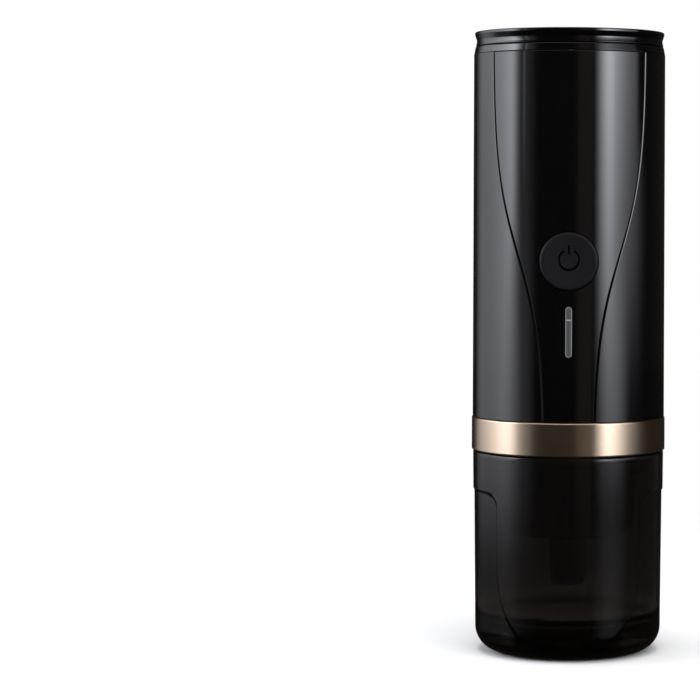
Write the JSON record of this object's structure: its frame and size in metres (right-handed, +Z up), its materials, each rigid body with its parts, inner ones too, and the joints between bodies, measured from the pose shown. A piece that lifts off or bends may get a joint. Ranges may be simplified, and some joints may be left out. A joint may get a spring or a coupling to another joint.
{
  "type": "portable espresso maker",
  "caption": "Slim upright battery espresso maker: gloss black body with a power button and light bar, champagne ring, smoky cup, lift-off lid, bayonet portafilter and pump.",
  "frame": {"origin": "centre of the foot of the cup, on the surface that the maker stands on", "axes": "+Z up along the body's axis, -Y out of the front with the button, +X to the right seen from the front"},
  "size_m": [0.0716, 0.0716, 0.2285],
  "materials": {
    "shell": "gloss black moulding",
    "panel": "gloss black moulding",
    "champagne": "satin anodised champagne",
    "smoke": "smoky clear moulding",
    "button": "fine matte",
    "diffuser": "milky grey diffuser",
    "black_moulding": "fine matte moulding",
    "grey_moulding": "plain moulding",
    "pale_moulding": "natural moulding",
    "silicone": "translucent silicone",
    "dark_rubber": "soft black rubber",
    "red_silicone": "food grade silicone",
    "steel": "brushed stainless",
    "bright_steel": "zinc plated",
    "plain_aluminium": "cast and turned",
    "copper_winding": "enamelled copper",
    "cell_wrap": "shrink wrap",
    "board": "solder resist",
    "lamp": "light emitting diode"
  },
  "bodies": {
    "cup": {"cup": "smoke"},
    "housing": {"rear_shell": "shell", "front_panel": "panel", "top_collar": "shell", "trim_ring": "champagne", "light_bar": "diffuser", "tact_switch": "black_moulding", "indicator_leds": "lamp", "circuit_board": "board", "board_screws": "bright_steel", "water_tank": "steel", "tank_gasket": "silicone", "heater_plate": "plain_aluminium", "heater_element": "bright_steel", "temperature_probe": "steel", "insulator_ring": "pale_moulding", "inlet_hose": "silicone", "upper_deck": "grey_moulding", "lower_deck": "grey_moulding", "deck_posts": "plain_aluminium", "post_screws": "bright_steel", "battery_cells": "cell_wrap", "cell_links": "bright_steel", "pump_body": "pale_moulding", "pump_can": "bright_steel", "pump_coil": "copper_winding", "pump_mounts": "dark_rubber", "pump_spring": "steel", "outlet_hose": "silicone", "charge_board": "board", "usb_port": "bright_steel", "cover_pin": "steel", "brew_head": "black_moulding", "housing_screws": "bright_steel", "brew_gasket": "red_silicone", "shower_screen": "steel", "screen_screws": "bright_steel"},
    "lid": {"lid_cap": "shell", "lid_plug": "black_moulding", "lid_seal": "silicone", "vent_valve": "dark_rubber"},
    "button": {"power_button": "button", "switch_stem": "grey_moulding"},
    "port_flap": {"port_cover": "dark_rubber"},
    "plunger": {"pump_plunger": "steel"},
    "basket": {"filter_basket": "steel"},
    "portafilter": {"portafilter": "black_moulding", "spout": "black_moulding", "cup_seal": "dark_rubber"}
  },
  "joints": [
    {"name": "lid_lift", "type": "slide", "parent": "housing", "child": "lid", "axis": [0, 0, 1], "range_m": [0, 0.06]},
    {"name": "button_press", "type": "slide", "parent": "housing", "child": "button", "axis": [0, 1, 0], "range_m": [0, 0.0005], "stiffness_N_per_m": 3000},
    {"name": "port_cover_swing", "type": "hinge", "parent": "housing", "child": "port_flap", "pos_m": [0.007, 0.03325, 0.09403], "axis": [0, 0, -1], "range_deg": [0, 110]},
    {"name": "plunger_stroke", "type": "slide", "parent": "housing", "child": "plunger", "axis": [0, 0, 1], "range_m": [-0.003, 0.003], "stiffness_N_per_m": 1500, "deforming": ["pump_spring"]},
    {"name": "cup_release", "type": "slide", "parent": "cup", "child": "portafilter", "axis": [0, 0, 1], "range_m": [0, 0.075]},
    {"name": "portafilter_turn", "type": "hinge", "parent": "portafilter", "child": "basket", "pos_m": [0, 0, 0.07], "axis": [0, 0, -1], "range_deg": [0, 60]},
    {"name": "basket_release", "type": "slide", "parent": "basket", "child": "housing", "axis": [0, 0, 1], "range_m": [0, 0.07]}
  ]
}
